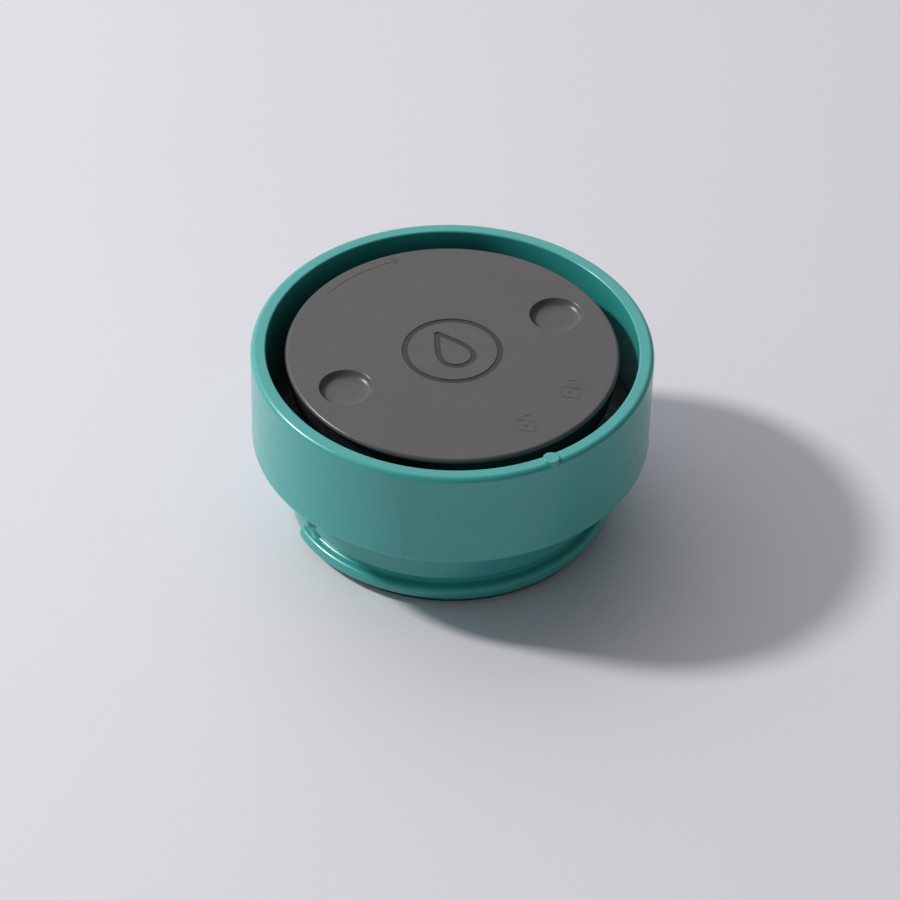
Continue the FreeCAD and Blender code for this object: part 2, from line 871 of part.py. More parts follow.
def build_button_base():
    body = new_body("button_base")
    underside = dim("base_bottom")
    outline = [
        (0.0, underside),
        (dim("socket_bore"), underside),
        (dim("socket_bore"), dim("socket_bottom")),
        (dim("socket_radius"), dim("socket_bottom")),
        (dim("socket_radius"), underside),
        (dim("base_radius"), underside),
        (dim("base_radius"), dim("button_underside")),
        (0.0, dim("button_underside")),
    ]
    revolve(body, "base_disc", outline)
    into_wall = dim("socket_bore") + dim("overlap")
    ledge = revolve(
        body,
        "socket_ledge",
        ring_points(dim("ledge_bore"), into_wall, dim("socket_bottom"), dim("ledge_top")),
        DIMENSIONS["ledge_start_angle"],
        dim("ledge_sweep"),
    )
    upright_polar(body, "socket_ledges", [ledge], BAYONET_SIDES)
    for name, angle in (("lock_stop", "stop_lock_angle"), ("open_stop", "stop_open_angle")):
        stop = revolve(
            body,
            name,
            ring_points(
                dim("stop_bore"),
                into_wall,
                dim("ledge_top") - dim("overlap"),
                underside + dim("overlap"),
            ),
            DIMENSIONS[angle],
            dim("stop_sweep"),
        )
        upright_polar(body, name + "s", [stop], BAYONET_SIDES)
    rib_sketch = bar_sketch(
        body,
        "base_rib_outline",
        dim("base_rib_start"),
        dim("base_rib_end"),
        dim("base_rib_width"),
        dim("base_rib_bottom"),
    )
    rib = pad(body, "base_rib", rib_sketch, underside + dim("overlap") - dim("base_rib_bottom"))
    polar(body, "base_ribs", [rib], BASE_RIBS)
    return body


def check_document():
    doc.recompute()
    for item in doc.Objects:
        if "Invalid" in item.State or "Error" in item.State:
            raise RuntimeError(item.Name + " failed: " + ", ".join(item.State))


def write_parts(bodies):
    os.makedirs("parts", exist_ok=True)
    for body in bodies:
        shape = body.Shape
        if shape.isNull() or not shape.isValid():
            raise RuntimeError(body.Label + " has no valid shape")
        if len(shape.Solids) != 1:
            raise RuntimeError(body.Label + " has " + str(len(shape.Solids)) + " solids")
        shape.exportStep("parts/" + body.Label + ".step")


fill_sheet()
groove_middle = dim("insert_groove_bottom") + dim("insert_groove_width") * 0.5
stem_groove_middle = (dim("stem_seal_groove_bottom") + dim("stem_seal_groove_top")) * 0.5
all_bodies = [
    build_lid_shell(),
    build_cup_seal(),
    build_hub_insert(),
    build_ring_seal(
        "insert_seal",
        dim("insert_groove_radius") + dim("insert_seal_section") + 0.02,
        dim("insert_seal_section"),
        groove_middle,
    ),
    build_click_sleeve(),
    build_hub_cap(),
    build_return_spring(),
    build_plunger_stem(),
    build_rotor_clip(),
    build_click_rotor(),
    build_ring_seal(
        "stem_seal",
        dim("stem_radius") + dim("stem_seal_section") + 0.05,
        dim("stem_seal_section"),
        stem_groove_middle,
    ),
    build_valve_plate(),
    build_valve_seal(),
    build_button_cap(),
    build_button_base(),
]
check_document()
write_parts(all_bodies)
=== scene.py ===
"""Studio scene of the push-button drinking lid. Metres, in the CAD model's own frame."""

import math

import bmesh
import bpy
from mathutils import Matrix, Quaternion, Vector


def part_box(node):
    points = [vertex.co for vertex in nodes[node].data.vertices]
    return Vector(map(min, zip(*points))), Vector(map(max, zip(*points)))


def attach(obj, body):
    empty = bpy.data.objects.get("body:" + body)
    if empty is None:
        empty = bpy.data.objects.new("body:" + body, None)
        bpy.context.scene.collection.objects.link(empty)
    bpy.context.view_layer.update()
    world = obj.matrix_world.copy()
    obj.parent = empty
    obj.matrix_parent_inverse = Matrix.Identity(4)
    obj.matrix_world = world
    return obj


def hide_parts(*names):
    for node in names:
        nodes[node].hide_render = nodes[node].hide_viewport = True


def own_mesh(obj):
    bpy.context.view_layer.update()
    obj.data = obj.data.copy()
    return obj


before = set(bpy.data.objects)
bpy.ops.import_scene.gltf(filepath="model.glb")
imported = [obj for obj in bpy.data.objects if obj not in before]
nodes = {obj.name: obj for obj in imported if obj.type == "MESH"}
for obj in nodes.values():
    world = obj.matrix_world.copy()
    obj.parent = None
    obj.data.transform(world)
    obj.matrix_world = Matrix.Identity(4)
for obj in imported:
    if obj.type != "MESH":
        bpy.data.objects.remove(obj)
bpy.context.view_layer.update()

MM = 0.001
SEGMENTS = 256
SHARP_ANGLE = math.radians(32)

# ---------------------------------------------------------------- camera and light
FOCAL_LENGTH = 160.0
CAMERA_DISTANCE = 0.8712
CAMERA_ELEVATION = math.radians(39.51)
CAMERA_DIP = math.radians(-1.46)
CAMERA_ROLL = math.radians(-1.46)
TARGET = Vector((0.0, 0.0, 43.0 * MM))

KEY_AZIMUTH = math.radians(169.5)
KEY_ELEVATION = math.radians(42)
KEY_DISTANCE = 1.3
KEY_SIZE = 0.156
KEY_POWER = 12.0
GLOW_AZIMUTH = math.radians(116)
GLOW_ELEVATION = math.radians(37)
GLOW_STRENGTH = 0.95
GLOW_EDGE = 0.55
SIDE_STRENGTH = 0.15
SIDE_FROM = -0.9
SIDE_TO = 0.2
BASE_STRENGTH = 0.17
FLOOR_SIZE = 6.0

# ---------------------------------------------------------------- button
DIMPLE_DISTANCE = 26.3 * MM
DIMPLE_ANGLE = math.radians(30.5)
DIMPLE_RADIUS = 5.9 * MM
CAP_WALL = 1.8 * MM
CAP_THICKNESS = 2.2 * MM
CAP_LIP = 1.0 * MM
CAP_STEP = 1.0 * MM
CAP_STEP_SLOPE = 0.5 * MM
CAP_LIP_SETBACK = 0.1 * MM
CAP_EDGE_ROUND = 0.8 * MM
MARK_DEPTH = 0.16 * MM
MARK_REACH = 12.5 * MM
ICON_DEPTH = 0.06 * MM
ICON_TURN = math.radians(-8)
ICON_WIDTH = 0.30 * MM
MARK_WIDTH = 1.25 * MM
CUTTER_OVER = 0.1 * MM
RING_RADIUS = 10.4 * MM
DROP_HALF_WIDTH = 5.2 * MM
DROP_HALF_HEIGHT = 6.2 * MM
DROP_SHIFT = 0.8 * MM
ARROW_RADIUS = 33.4 * MM
ARROW_WIDTH = 0.45 * MM
ARROW_HEAD = 1.6 * MM
ARROW_HEAD_HALF_WIDTH = 1.2 * MM
ARROW_TIP = 0.35 * MM
LOCK_HALF_WIDTH = 2.1 * MM
LOCK_HALF_HEIGHT = 1.6 * MM
LOCK_CORNER = 0.5 * MM
SHACKLE_RADIUS = 1.25 * MM
SHACKLE_FOOT = 1.95 * MM
SHACKLE_SHUT = 2.2 * MM
SHACKLE_OPEN = 3.0 * MM
KEYHOLE_RADIUS = 0.30 * MM
KEYHOLE_WIDTH = 0.28 * MM
SHUT_LOCK = (math.radians(-56.6), 29.5 * MM)
OPEN_LOCK = (math.radians(-27.4), 28.9 * MM)

# ---------------------------------------------------------------- shell
SHELL_SEGMENTS = 360
NECK_BORE = 33.7 * MM
NECK_RADIUS = 35.3 * MM
NECK_END = 1.0 * MM
SEAL_SLOT = (34.1 * MM, 34.5 * MM)
SEAL_SLOT_TOP = 1.5 * MM
BAND_BOTTOM = 19.6 * MM
BAND_RADIUS = 43.9 * MM
BAND_ROUND = 0.80 * MM
BEAD_OUT = 0.05 * MM
BEAD_HEIGHT = 0.30 * MM
LIP_RADIUS = 44.0 * MM
LIP_HEIGHT = 42.0 * MM
RIM_TOP = 43.45 * MM
RIM_INNER_RADIUS = 40.7 * MM
RIM_ROUND_OUTER = 1.2 * MM
RIM_ROUND_INNER = 0.4 * MM
RIM_DEPTH = 5.0 * MM
CHAMBER_RADIUS = 40.75 * MM
CHAMBER_FLOOR = 21.4 * MM
THREAD_ROOT = 34.4 * MM
THREAD_CREST = 36.8 * MM
THREAD_PITCH = 5.3 * MM
THREAD_TURNS = 1.028
THREAD_START = 205.0
THREAD_START_HEIGHT = 3.09 * MM
THREAD_BELOW = 1.25 * MM
THREAD_ABOVE = 1.2 * MM
THREAD_EDGE = 0.3 * MM
THREAD_LEAD = 2.5
GROOVE_DEPTH = 0.7 * MM
GROOVE_HEIGHT = 2.2 * MM
GROOVE_START = 212.0
GROOVE_TURNS = 0.9
GROOVE_TOP = 6.49 * MM
GROOVE_FADE = 5.0
GROOVE_BLEND = 0.1 * MM
NECK_EDGE = 0.2 * MM
PIP_ANGLE = math.radians(-59.5)
PIP_DISTANCE = 42.2 * MM
PIP_RADIUS = 1.8 * MM
PIP_BOTTOM = 41.2 * MM
PIP_ROUND = 0.25 * MM


# ================================================================ materials
def shader(name):
    """New node material; returns it with its tree and Principled node."""
    material = bpy.data.materials.new(name)
    material.use_nodes = True
    tree = material.node_tree
    return material, tree, tree.nodes["Principled BSDF"]


def object_coordinates(tree, stretch=(1, 1, 1)):
    place = tree.nodes.new("ShaderNodeTexCoord")
    mapping = tree.nodes.new("ShaderNodeMapping")
    mapping.inputs["Scale"].default_value = stretch
    tree.links.new(place.outputs["Object"], mapping.inputs["Vector"])
    return mapping.outputs["Vector"]


def noise(tree, vector, per_metre, detail=3.0, roughness=0.5):
    node = tree.nodes.new("ShaderNodeTexNoise")
    node.inputs["Scale"].default_value = per_metre
    node.inputs["Detail"].default_value = detail
    node.inputs["Roughness"].default_value = roughness
    tree.links.new(vector, node.inputs["Vector"])
    return node.outputs["Fac"]


def remap(tree, value, low, high, from_low=0.3, from_high=0.7):
    node = tree.nodes.new("ShaderNodeMapRange")
    node.interpolation_type = "SMOOTHSTEP"
    node.inputs["From Min"].default_value = from_low
    node.inputs["From Max"].default_value = from_high
    node.inputs["To Min"].default_value = low
    node.inputs["To Max"].default_value = high
    tree.links.new(value, node.inputs["Value"])
    return node.outputs["Result"]


def two_tone(tree, factor, first, second):
    node = tree.nodes.new("ShaderNodeMix")
    node.data_type = "RGBA"
    node.inputs["A"].default_value = (*first, 1)
    node.inputs["B"].default_value = (*second, 1)
    tree.links.new(factor, node.inputs["Factor"])
    return node.outputs["Result"]


def add(tree, first, second):
    node = tree.nodes.new("ShaderNodeMath")
    node.operation = "ADD"
    tree.links.new(first, node.inputs[0])
    tree.links.new(second, node.inputs[1])
    return node.outputs["Value"]


def bump(tree, principled, height, distance, strength=1.0):
    node = tree.nodes.new("ShaderNodeBump")
    node.inputs["Distance"].default_value = distance
    node.inputs["Strength"].default_value = strength
    tree.links.new(height, node.inputs["Height"])
    tree.links.new(node.outputs["Normal"], principled.inputs["Normal"])


def scratches(tree, stretch, per_metre):
    """Fine hairline marks: a noise drawn out along one direction, kept where it peaks."""
    lines = noise(tree, object_coordinates(tree, stretch), per_metre, 2.0)
    return remap(tree, lines, 0.0, 1.0, 0.62, 0.72)


def plastic(name, colour, shade, rough_low, rough_high, grain, grain_depth):
    """Moulded plastic: cloudy tone, moulded grain in the gloss and the surface, faint wear."""
    material, tree, principled = shader(name)
    place = object_coordinates(tree)
    cloud = remap(tree, noise(tree, place, 70, 4.0, 0.6), 0.0, 1.0)
    tree.links.new(two_tone(tree, cloud, colour, shade), principled.inputs["Base Color"])
    gloss = remap(tree, noise(tree, place, 420, 4.0), rough_low, rough_high)
    wear = remap(tree, noise(tree, object_coordinates(tree, (3, 1, 2)), 160, 2.0), 0.0, 0.03)
    tree.links.new(add(tree, gloss, wear), principled.inputs["Roughness"])
    bump(tree, principled, noise(tree, place, grain, 3.0, 0.6), grain_depth)
    return material, principled


def teal_plastic():
    material, principled = plastic(
        "teal_polypropylene",
        (0.030, 0.350, 0.318),
        (0.034, 0.368, 0.338),
        0.27,
        0.35,
        1500,
        0.010 * MM,
    )
    principled.inputs["IOR"].default_value = 1.5
    principled.inputs["Coat Weight"].default_value = 0.50
    principled.inputs["Coat Roughness"].default_value = 0.22
    return material


def button_plastic():
    material, principled = plastic(
        "grey_button_plastic",
        (0.076, 0.071, 0.071),
        (0.082, 0.077, 0.077),
        0.26,
        0.33,
        5200,
        0.016 * MM,
    )
    principled.inputs["IOR"].default_value = 1.5
    return material


def mark_plastic():
    material, principled = plastic(
        "engraved_floor",
        (0.030, 0.027, 0.027),
        (0.035, 0.032, 0.032),
        0.50,
        0.60,
        5200,
        0.016 * MM,
    )
    return material


def inner_plastic():
    material, principled = plastic(
        "charcoal_inner_plastic",
        (0.009, 0.009, 0.010),
        (0.013, 0.013, 0.014),
        0.42,
        0.55,
        2600,
        0.012 * MM,
    )
    return material


def acetal():
    material, principled = plastic(
        "natural_acetal",
        (0.72, 0.71, 0.67),
        (0.76, 0.75, 0.72),
        0.30,
        0.42,
        1800,
        0.006 * MM,
    )
    principled.inputs["Subsurface Weight"].default_value = 0.2
    principled.inputs["Subsurface Scale"].default_value = 1.5 * MM
    return material


def silicone(name, colour, shade):
    material, tree, principled = shader(name)
    place = object_coordinates(tree)
    dust = remap(tree, noise(tree, place, 2400, 5.0, 0.7), 0.0, 1.0, 0.58, 0.74)
    tree.links.new(two_tone(tree, dust, colour, shade), principled.inputs["Base Color"])
    gloss = remap(tree, noise(tree, place, 650, 3.0), 0.48, 0.62)
    tree.links.new(gloss, principled.inputs["Roughness"])
    bump(tree, principled, noise(tree, place, 3000, 2.0), 0.008 * MM)
    principled.inputs["IOR"].default_value = 1.41
    principled.inputs["Sheen Weight"].default_value = 0.15
    return material


def spring_wire():
    material, tree, principled = shader("drawn_steel_wire")
    place = object_coordinates(tree)
    tone = remap(tree, noise(tree, place, 900, 3.0), 0.0, 1.0)
    tree.links.new(
        two_tone(tree, tone, (0.52, 0.52, 0.53), (0.66, 0.66, 0.66)),
        principled.inputs["Base Color"],
    )
    gloss = remap(tree, scratches(tree, (1, 1, 14), 1800), 0.22, 0.38, 0.0, 1.0)
    tree.links.new(gloss, principled.inputs["Roughness"])
    bump(tree, principled, noise(tree, place, 6000, 2.0), 0.003 * MM)
    principled.inputs["Metallic"].default_value = 1.0
    return material


def floor_paint():
    material, tree, principled = shader("pale_studio_floor")
    place = object_coordinates(tree)
    cloud = remap(tree, noise(tree, place, 6, 3.0), 0.0, 1.0)
    tree.links.new(
        two_tone(tree, cloud, (0.735, 0.725, 0.762), (0.745, 0.735, 0.772)),
        principled.inputs["Base Color"],
    )
    principled.inputs["Roughness"].default_value = 0.75
    return material


# ================================================================ mesh helpers
def finish_mesh(mesh_data, name, materials):
    """Object from a bmesh, with outward normals and shading set."""
    bmesh.ops.remove_doubles(mesh_data, verts=mesh_data.verts, dist=1e-7)
    bmesh.ops.recalc_face_normals(mesh_data, faces=mesh_data.faces)
    mesh = bpy.data.meshes.new(name)
    mesh_data.to_mesh(mesh)
    mesh_data.free()
    thing = bpy.data.objects.new(name, mesh)
    bpy.context.scene.collection.objects.link(thing)
    for material in materials:
        mesh.materials.append(material)
    shade(thing)
    return thing


def shade(thing):
    """Smooth faces except level ones, with sharp edges where faces meet at an angle."""
    mesh_data = bmesh.new()
    mesh_data.from_mesh(thing.data)
    for face in mesh_data.faces:
        face.smooth = abs(face.normal.z) < 0.9999
    for edge in mesh_data.edges:
        if len(edge.link_faces) == 2:
            edge.smooth = edge.calc_face_angle() < SHARP_ANGLE
    mesh_data.to_mesh(thing.data)
    mesh_data.free()


def arc(centre, radius, start, finish, steps):
    """Points of an arc in the profile plane, angles in degrees."""
    points = []
    for step in range(steps + 1):
        angle = math.radians(start + (finish - start) * step / steps)
        points.append((centre[0] + radius * math.cos(angle), centre[1] + radius * math.sin(angle)))
    return points


def lathe(mesh_data, profile, segments=SEGMENTS, centre=(0.0, 0.0)):
    """Turns a profile of (radius, height) points; points on the axis close the surface."""
    rings = []
    for radius, height in profile:
        if radius < 1e-7:
            rings.append([mesh_data.verts.new((centre[0], centre[1], height))])
            continue
        ring = []
        for step in range(segments):
            turn = 2 * math.pi * step / segments
            x = centre[0] + radius * math.cos(turn)
            y = centre[1] + radius * math.sin(turn)
            ring.append(mesh_data.verts.new((x, y, height)))
        rings.append(ring)
    closed = profile[0][0] > 1e-7
    pairs = list(zip(rings, rings[1:]))
    if closed:
        pairs.append((rings[-1], rings[0]))
    for first, second in pairs:
        for step in range(segments):
            after = (step + 1) % segments
            corners = [first[step % len(first)], first[after % len(first)]]
            corners += [second[after % len(second)], second[step % len(second)]]
            unique = list(dict.fromkeys(corners))
            if len(unique) > 2:
                mesh_data.faces.new(unique)


def stroke(mesh_data, path, width, closed, top, depth):
    """Solid cutter of a groove this deep below top, along a flat path; its walls lean out."""
    high = top + CUTTER_OVER
    low = top - depth
    count = len(path)
    draft = 1.15
    rings = []
    for step, point in enumerate(path):
        before = path[step - 1] if (closed or step > 0) else point
        after = path[(step + 1) % count] if (closed or step < count - 1) else point
        along = (after - before).normalized()
        side = Vector((-along.y, along.x)) * width / 2
        upper_left = point + side * draft
        upper_right = point - side * draft
        lower_left = point + side / draft
        lower_right = point - side / draft
        rings.append(
            [
                mesh_data.verts.new((upper_left.x, upper_left.y, high)),
                mesh_data.verts.new((upper_right.x, upper_right.y, high)),
                mesh_data.verts.new((lower_right.x, lower_right.y, low)),
                mesh_data.verts.new((lower_left.x, lower_left.y, low)),
            ]
        )
    last = count if closed else count - 1
    for step in range(last):
        here, there = rings[step], rings[(step + 1) % count]
        for side in range(4):
            after = (side + 1) % 4
            mesh_data.faces.new([here[side], here[after], there[after], there[side]])
    if not closed:
        for ring in (rings[0], rings[-1]):
            mesh_data.faces.new(ring)


def placed(points, centre, turn):
    """Flat points turned and moved to their place on the button."""
    spin = Matrix.Rotation(turn, 2)
    return [spin @ Vector(point) + Vector(centre) for point in points]


def circle_path(radius, steps, start=0.0, finish=360.0, centre=(0.0, 0.0)):
    whole = abs(finish - start) > 359.9
    count = steps if whole else steps + 1
    points = []
    for step in range(count):
        angle = math.radians(start + (finish - start) * step / steps)
        points.append((centre[0] + radius * math.cos(angle), centre[1] + radius * math.sin(angle)))
    return points


def round_box_path(half_width, half_height, radius, steps=5):
    """Outline of a box with round corners, anticlockwise."""
    points = []
    corners = ((1, 1, 0), (-1, 1, 90), (-1, -1, 180), (1, -1, 270))
    for side_x, side_y, start in corners:
        middle = (side_x * (half_width - radius), side_y * (half_height - radius))
        points += circle_path(radius, steps, start, start + 90, middle)
    return points


# ================================================================ pieces
def cut_away(thing, cutter):
    """Cuts one mesh out of another for good, and stops if nothing would be left."""
    modifier = thing.modifiers.new("engraving", "BOOLEAN")
    modifier.operation = "DIFFERENCE"
    modifier.solver = "EXACT"
    modifier.use_self = True
    modifier.object = cutter
    shown = bpy.context.evaluated_depsgraph_get()
    mesh = bpy.data.meshes.new_from_object(thing.evaluated_get(shown))
    if not mesh.polygons:
        raise RuntimeError(thing.name + " is empty after the cut")
    thing.modifiers.clear()
    thing.data = mesh
    bpy.data.objects.remove(cutter)


def dimple_cutter(mesh_data, centre, top):
    """Round finger dish with a soft lip, a steep wall and a nearly flat floor."""
    radius = DIMPLE_RADIUS
    profile = [
        (0.0, top - 1.45 * MM),
        (radius * 0.40, top - 1.44 * MM),
        (radius * 0.62, top - 1.39 * MM),
        (radius * 0.75, top - 1.30 * MM),
        (radius * 0.83, top - 1.14 * MM),
        (radius * 0.89, top - 0.88 * MM),
        (radius * 0.935, top - 0.56 * MM),
        (radius * 0.97, top - 0.26 * MM),
        (radius * 0.995, top - 0.06 * MM),
        (radius * 1.015, top + 0.02 * MM),
        (radius * 1.05, top + 0.09 * MM),
        (0.0, top + 0.09 * MM),
    ]
    lathe(mesh_data, profile, 96, centre)


def padlock(mesh_data, place, top, shut):
    """Small padlock symbol, upright as the part is looked at from its front."""
    angle, distance = place
    centre = (distance * math.cos(angle), distance * math.sin(angle))
    body = placed(round_box_path(LOCK_HALF_WIDTH, LOCK_HALF_HEIGHT, LOCK_CORNER), centre, ICON_TURN)
    stroke(mesh_data, body, ICON_WIDTH, True, top, ICON_DEPTH)
    lift = SHACKLE_SHUT if shut else SHACKLE_OPEN
    finish = 180 if shut else 150
    shackle = [(SHACKLE_RADIUS, SHACKLE_FOOT)]
    shackle += circle_path(SHACKLE_RADIUS, 14, 0, finish, (0.0, lift))
    if shut:
        shackle.append((-SHACKLE_RADIUS, SHACKLE_FOOT))
    stroke(mesh_data, placed(shackle, centre, ICON_TURN), ICON_WIDTH, False, top, ICON_DEPTH)
    keyhole = placed(circle_path(KEYHOLE_RADIUS, 16), centre, ICON_TURN)
    stroke(mesh_data, keyhole, KEYHOLE_WIDTH, True, top, ICON_DEPTH)


def drop_mark(mesh_data, top):
    """Plain drop inside a ring, in the middle of the button."""
    ring = placed(circle_path(RING_RADIUS, 120), (0, 0), DIMPLE_ANGLE)
    stroke(mesh_data, ring, MARK_WIDTH, True, top, MARK_DEPTH)
    outline = []
    for step in range(72):
        angle = 2 * math.pi * (step + 0.5) / 72
        wide = DROP_HALF_WIDTH * math.sin(angle) * abs(math.sin(angle / 2)) ** 1.5
        outline.append((wide, DROP_HALF_HEIGHT * math.cos(angle) + DROP_SHIFT))
    drop = placed(outline, (0, 0), DIMPLE_ANGLE)
    stroke(mesh_data, drop, MARK_WIDTH, True, top, MARK_DEPTH)


def turn_arrow(mesh_data, top):
    """Thin curved arrow near the button's edge that shows the way to turn."""
    path = placed(circle_path(ARROW_RADIUS, 40, 112, 147), (0, 0), 0.0)
    stroke(mesh_data, path, ARROW_WIDTH, False, top, ICON_DEPTH)
    tip = path[0]
    along = (path[0] - path[1]).normalized()
    across = Vector((-along.y, along.x))
    back = tip - along * ARROW_HEAD
    side = across * ARROW_HEAD_HALF_WIDTH
    point = tip + along * ARROW_TIP
    for start, end in ((back + side, point), (point, back - side)):
        barb = [start, (start + end) / 2, end]
        stroke(mesh_data, barb, ARROW_WIDTH, False, top, ICON_DEPTH)


def make_button(grey, mark, charcoal_base_and_shade):
    low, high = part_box("button_cap")
    radius = high.x
    top = high.z
    edge = arc((radius - CAP_EDGE_ROUND, top - CAP_EDGE_ROUND), CAP_EDGE_ROUND, 0, 90, 12)
    stem = radius - CAP_STEP
    profile = [(0.0, top - CAP_THICKNESS)]
    profile += [(radius - CAP_WALL, top - CAP_THICKNESS), (radius - CAP_WALL, low.z)]
    profile += [
        (stem, low.z),
        (stem, top - CAP_LIP - CAP_STEP_SLOPE),
        (radius - CAP_LIP_SETBACK, top - CAP_LIP),
    ]
    profile += edge + [(0.0, top)]
    mesh_data = bmesh.new()
    lathe(mesh_data, profile)
    flat_top = [f for f in mesh_data.faces if f.calc_center_median().z > top - 1e-6]
    bmesh.ops.dissolve_faces(mesh_data, faces=flat_top)
    button = finish_mesh(mesh_data, "button_disc", [grey, mark, charcoal_base_and_shade])
    cutter_data = bmesh.new()
    for side in (0, math.pi):
        angle = DIMPLE_ANGLE + side
        centre = (DIMPLE_DISTANCE * math.cos(angle), DIMPLE_DISTANCE * math.sin(angle))
        dimple_cutter(cutter_data, centre, top)
    drop_mark(cutter_data, top)
    turn_arrow(cutter_data, top)
    padlock(cutter_data, SHUT_LOCK, top, True)
    padlock(cutter_data, OPEN_LOCK, top, False)
    cutter = finish_mesh(cutter_data, "button_cutter", [])
    cut_away(button, cutter)
    for face in button.data.polygons:
        across = face.center.xy.length
        depth = top - face.center.z
        face.material_index = 0
        if across < MARK_REACH and MARK_DEPTH * 0.2 < depth < MARK_DEPTH * 1.5:
            face.material_index = 1
        # The cap's wall below its lip gets the charcoal colour: it stands for the black base under
        # the button's edge, and is partly painted shade under the lip.
        if depth > CAP_LIP and across > radius - CAP_WALL - CAP_LIP_SETBACK:
            face.material_index = 2
    shade(button)
    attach(button, "button")
    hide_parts("button_cap")


def smooth_step(value):
    """Eases from 0 to 1."""
    value = min(max(value, 0.0), 1.0)
    return value * value * (3 - 2 * value)


def neck_rows(angle):
    """Outside of the neck at one angle: the groove climbs with the thread and falls back once."""
    turn = ((angle - GROOVE_START) % 360) / 360
    climb = min(turn / GROOVE_TURNS, 1.0)
    back = max(turn - GROOVE_TURNS, 0.0) / (1 - GROOVE_TURNS)
    high = GROOVE_TOP + THREAD_PITCH * GROOVE_TURNS * (climb - smooth_step(back))
    low = high - GROOVE_HEIGHT
    depth = GROOVE_DEPTH * smooth_step(min(turn, GROOVE_TURNS - turn) * 360 / GROOVE_FADE)
    below = low - GROOVE_BLEND
    above = high + GROOVE_BLEND
    foot = NECK_END + NECK_EDGE
    rows = [(NECK_RADIUS, foot + (below - foot) * share) for share in (0.0, 0.35, 0.7, 1.0)]
    for height, share in (
        (low, 0.10),
        (low + 0.10 * MM, 0.75),
        (low + 0.25 * MM, 1.0),
        (high - 1.20 * MM, 1.0),
        (high - 0.60 * MM, 0.88),
        (high - 0.25 * MM, 0.55),
        (high, 0.12),
    ):
        rows.append((NECK_RADIUS - depth * share, height))
    for share in (0.0, 0.25, 0.5, 0.75, 1.0):
        rows.append((NECK_RADIUS, above + (BAND_BOTTOM - above) * share))
    return rows


def shell_outline(angle):
    """Closed outline of the shell at one angle, from the seal's slot up the outside and back."""
    bottom = [
        (NECK_BORE, NECK_END),
        (SEAL_SLOT[0], NECK_END),
        (SEAL_SLOT[0], SEAL_SLOT_TOP),
        (SEAL_SLOT[1], SEAL_SLOT_TOP),
        (SEAL_SLOT[1], NECK_END),
        (NECK_RADIUS - NECK_EDGE, NECK_END),
    ]
    round_centre = (BAND_RADIUS + BEAD_OUT - BAND_ROUND, BAND_BOTTOM + BAND_ROUND)
    band = arc(round_centre, BAND_ROUND, -90, 0, 8)
    band += [
        (BAND_RADIUS + BEAD_OUT * 0.8, BAND_BOTTOM + BAND_ROUND + BEAD_HEIGHT * 0.35),
        (BAND_RADIUS + BEAD_OUT * 0.2, BAND_BOTTOM + BAND_ROUND + BEAD_HEIGHT * 0.75),
        (BAND_RADIUS, BAND_BOTTOM + BAND_ROUND + BEAD_HEIGHT),
        (LIP_RADIUS, LIP_HEIGHT),
    ]
    rim_centre = (LIP_RADIUS - RIM_ROUND_OUTER, RIM_TOP - RIM_ROUND_OUTER)
    mouth_centre = (RIM_INNER_RADIUS + RIM_ROUND_INNER, RIM_TOP - RIM_ROUND_INNER)
    rim = arc(rim_centre, RIM_ROUND_OUTER, 0, 90, 16)
    rim += arc(mouth_centre, RIM_ROUND_INNER, 90, 180, 8)
    inside = [
        (CHAMBER_RADIUS, RIM_TOP - RIM_DEPTH),
        (CHAMBER_RADIUS, CHAMBER_FLOOR),
        (NECK_BORE, CHAMBER_FLOOR),
    ]
    return bottom + neck_rows(angle) + band + rim + inside


def join_rings(mesh_data, first, second):
    for step in range(len(first)):
        after = (step + 1) % len(first)
        mesh_data.faces.new([first[step], first[after], second[after], second[step]])


def ring_at(mesh_data, section, angle):
    """Places a section of (radius, height) points in the plane at one angle."""
    turn = math.radians(angle)
    return [
        mesh_data.verts.new((radius * math.cos(turn), radius * math.sin(turn), height))
        for radius, height in section
    ]


def thread_ridge(mesh_data):
    """Closed ridge of the thread, wound up the neck; both ends sink into the wall."""
    crest = THREAD_CREST
    section = [(THREAD_ROOT, -THREAD_BELOW)]
    section += arc((crest - THREAD_EDGE, THREAD_EDGE - THREAD_BELOW), THREAD_EDGE, -90, 0, 5)
    section += arc((crest - THREAD_ABOVE, 0.0), THREAD_ABOVE, 0, 90, 12)
    section += [(THREAD_ROOT, THREAD_ABOVE)]
    steps = 400
    rings = []
    for step in range(steps + 1):
        climb = THREAD_TURNS * step / steps
        to_end = min(climb, THREAD_TURNS - climb) * 360
        grown = 0.3 + 0.7 * math.sin(min(to_end / THREAD_LEAD, 1.0) * math.pi / 2)
        height = THREAD_START_HEIGHT + THREAD_PITCH * climb
        ring = [
            (THREAD_ROOT + (radius - THREAD_ROOT) * grown, height + level * (0.5 + grown * 0.5))
            for radius, level in section
        ]
        rings.append(ring_at(mesh_data, ring, THREAD_START + 360 * climb))
    for first, second in zip(rings, rings[1:]):
        join_rings(mesh_data, first, second)
    mesh_data.faces.new(rings[0])
    mesh_data.faces.new(rings[-1])


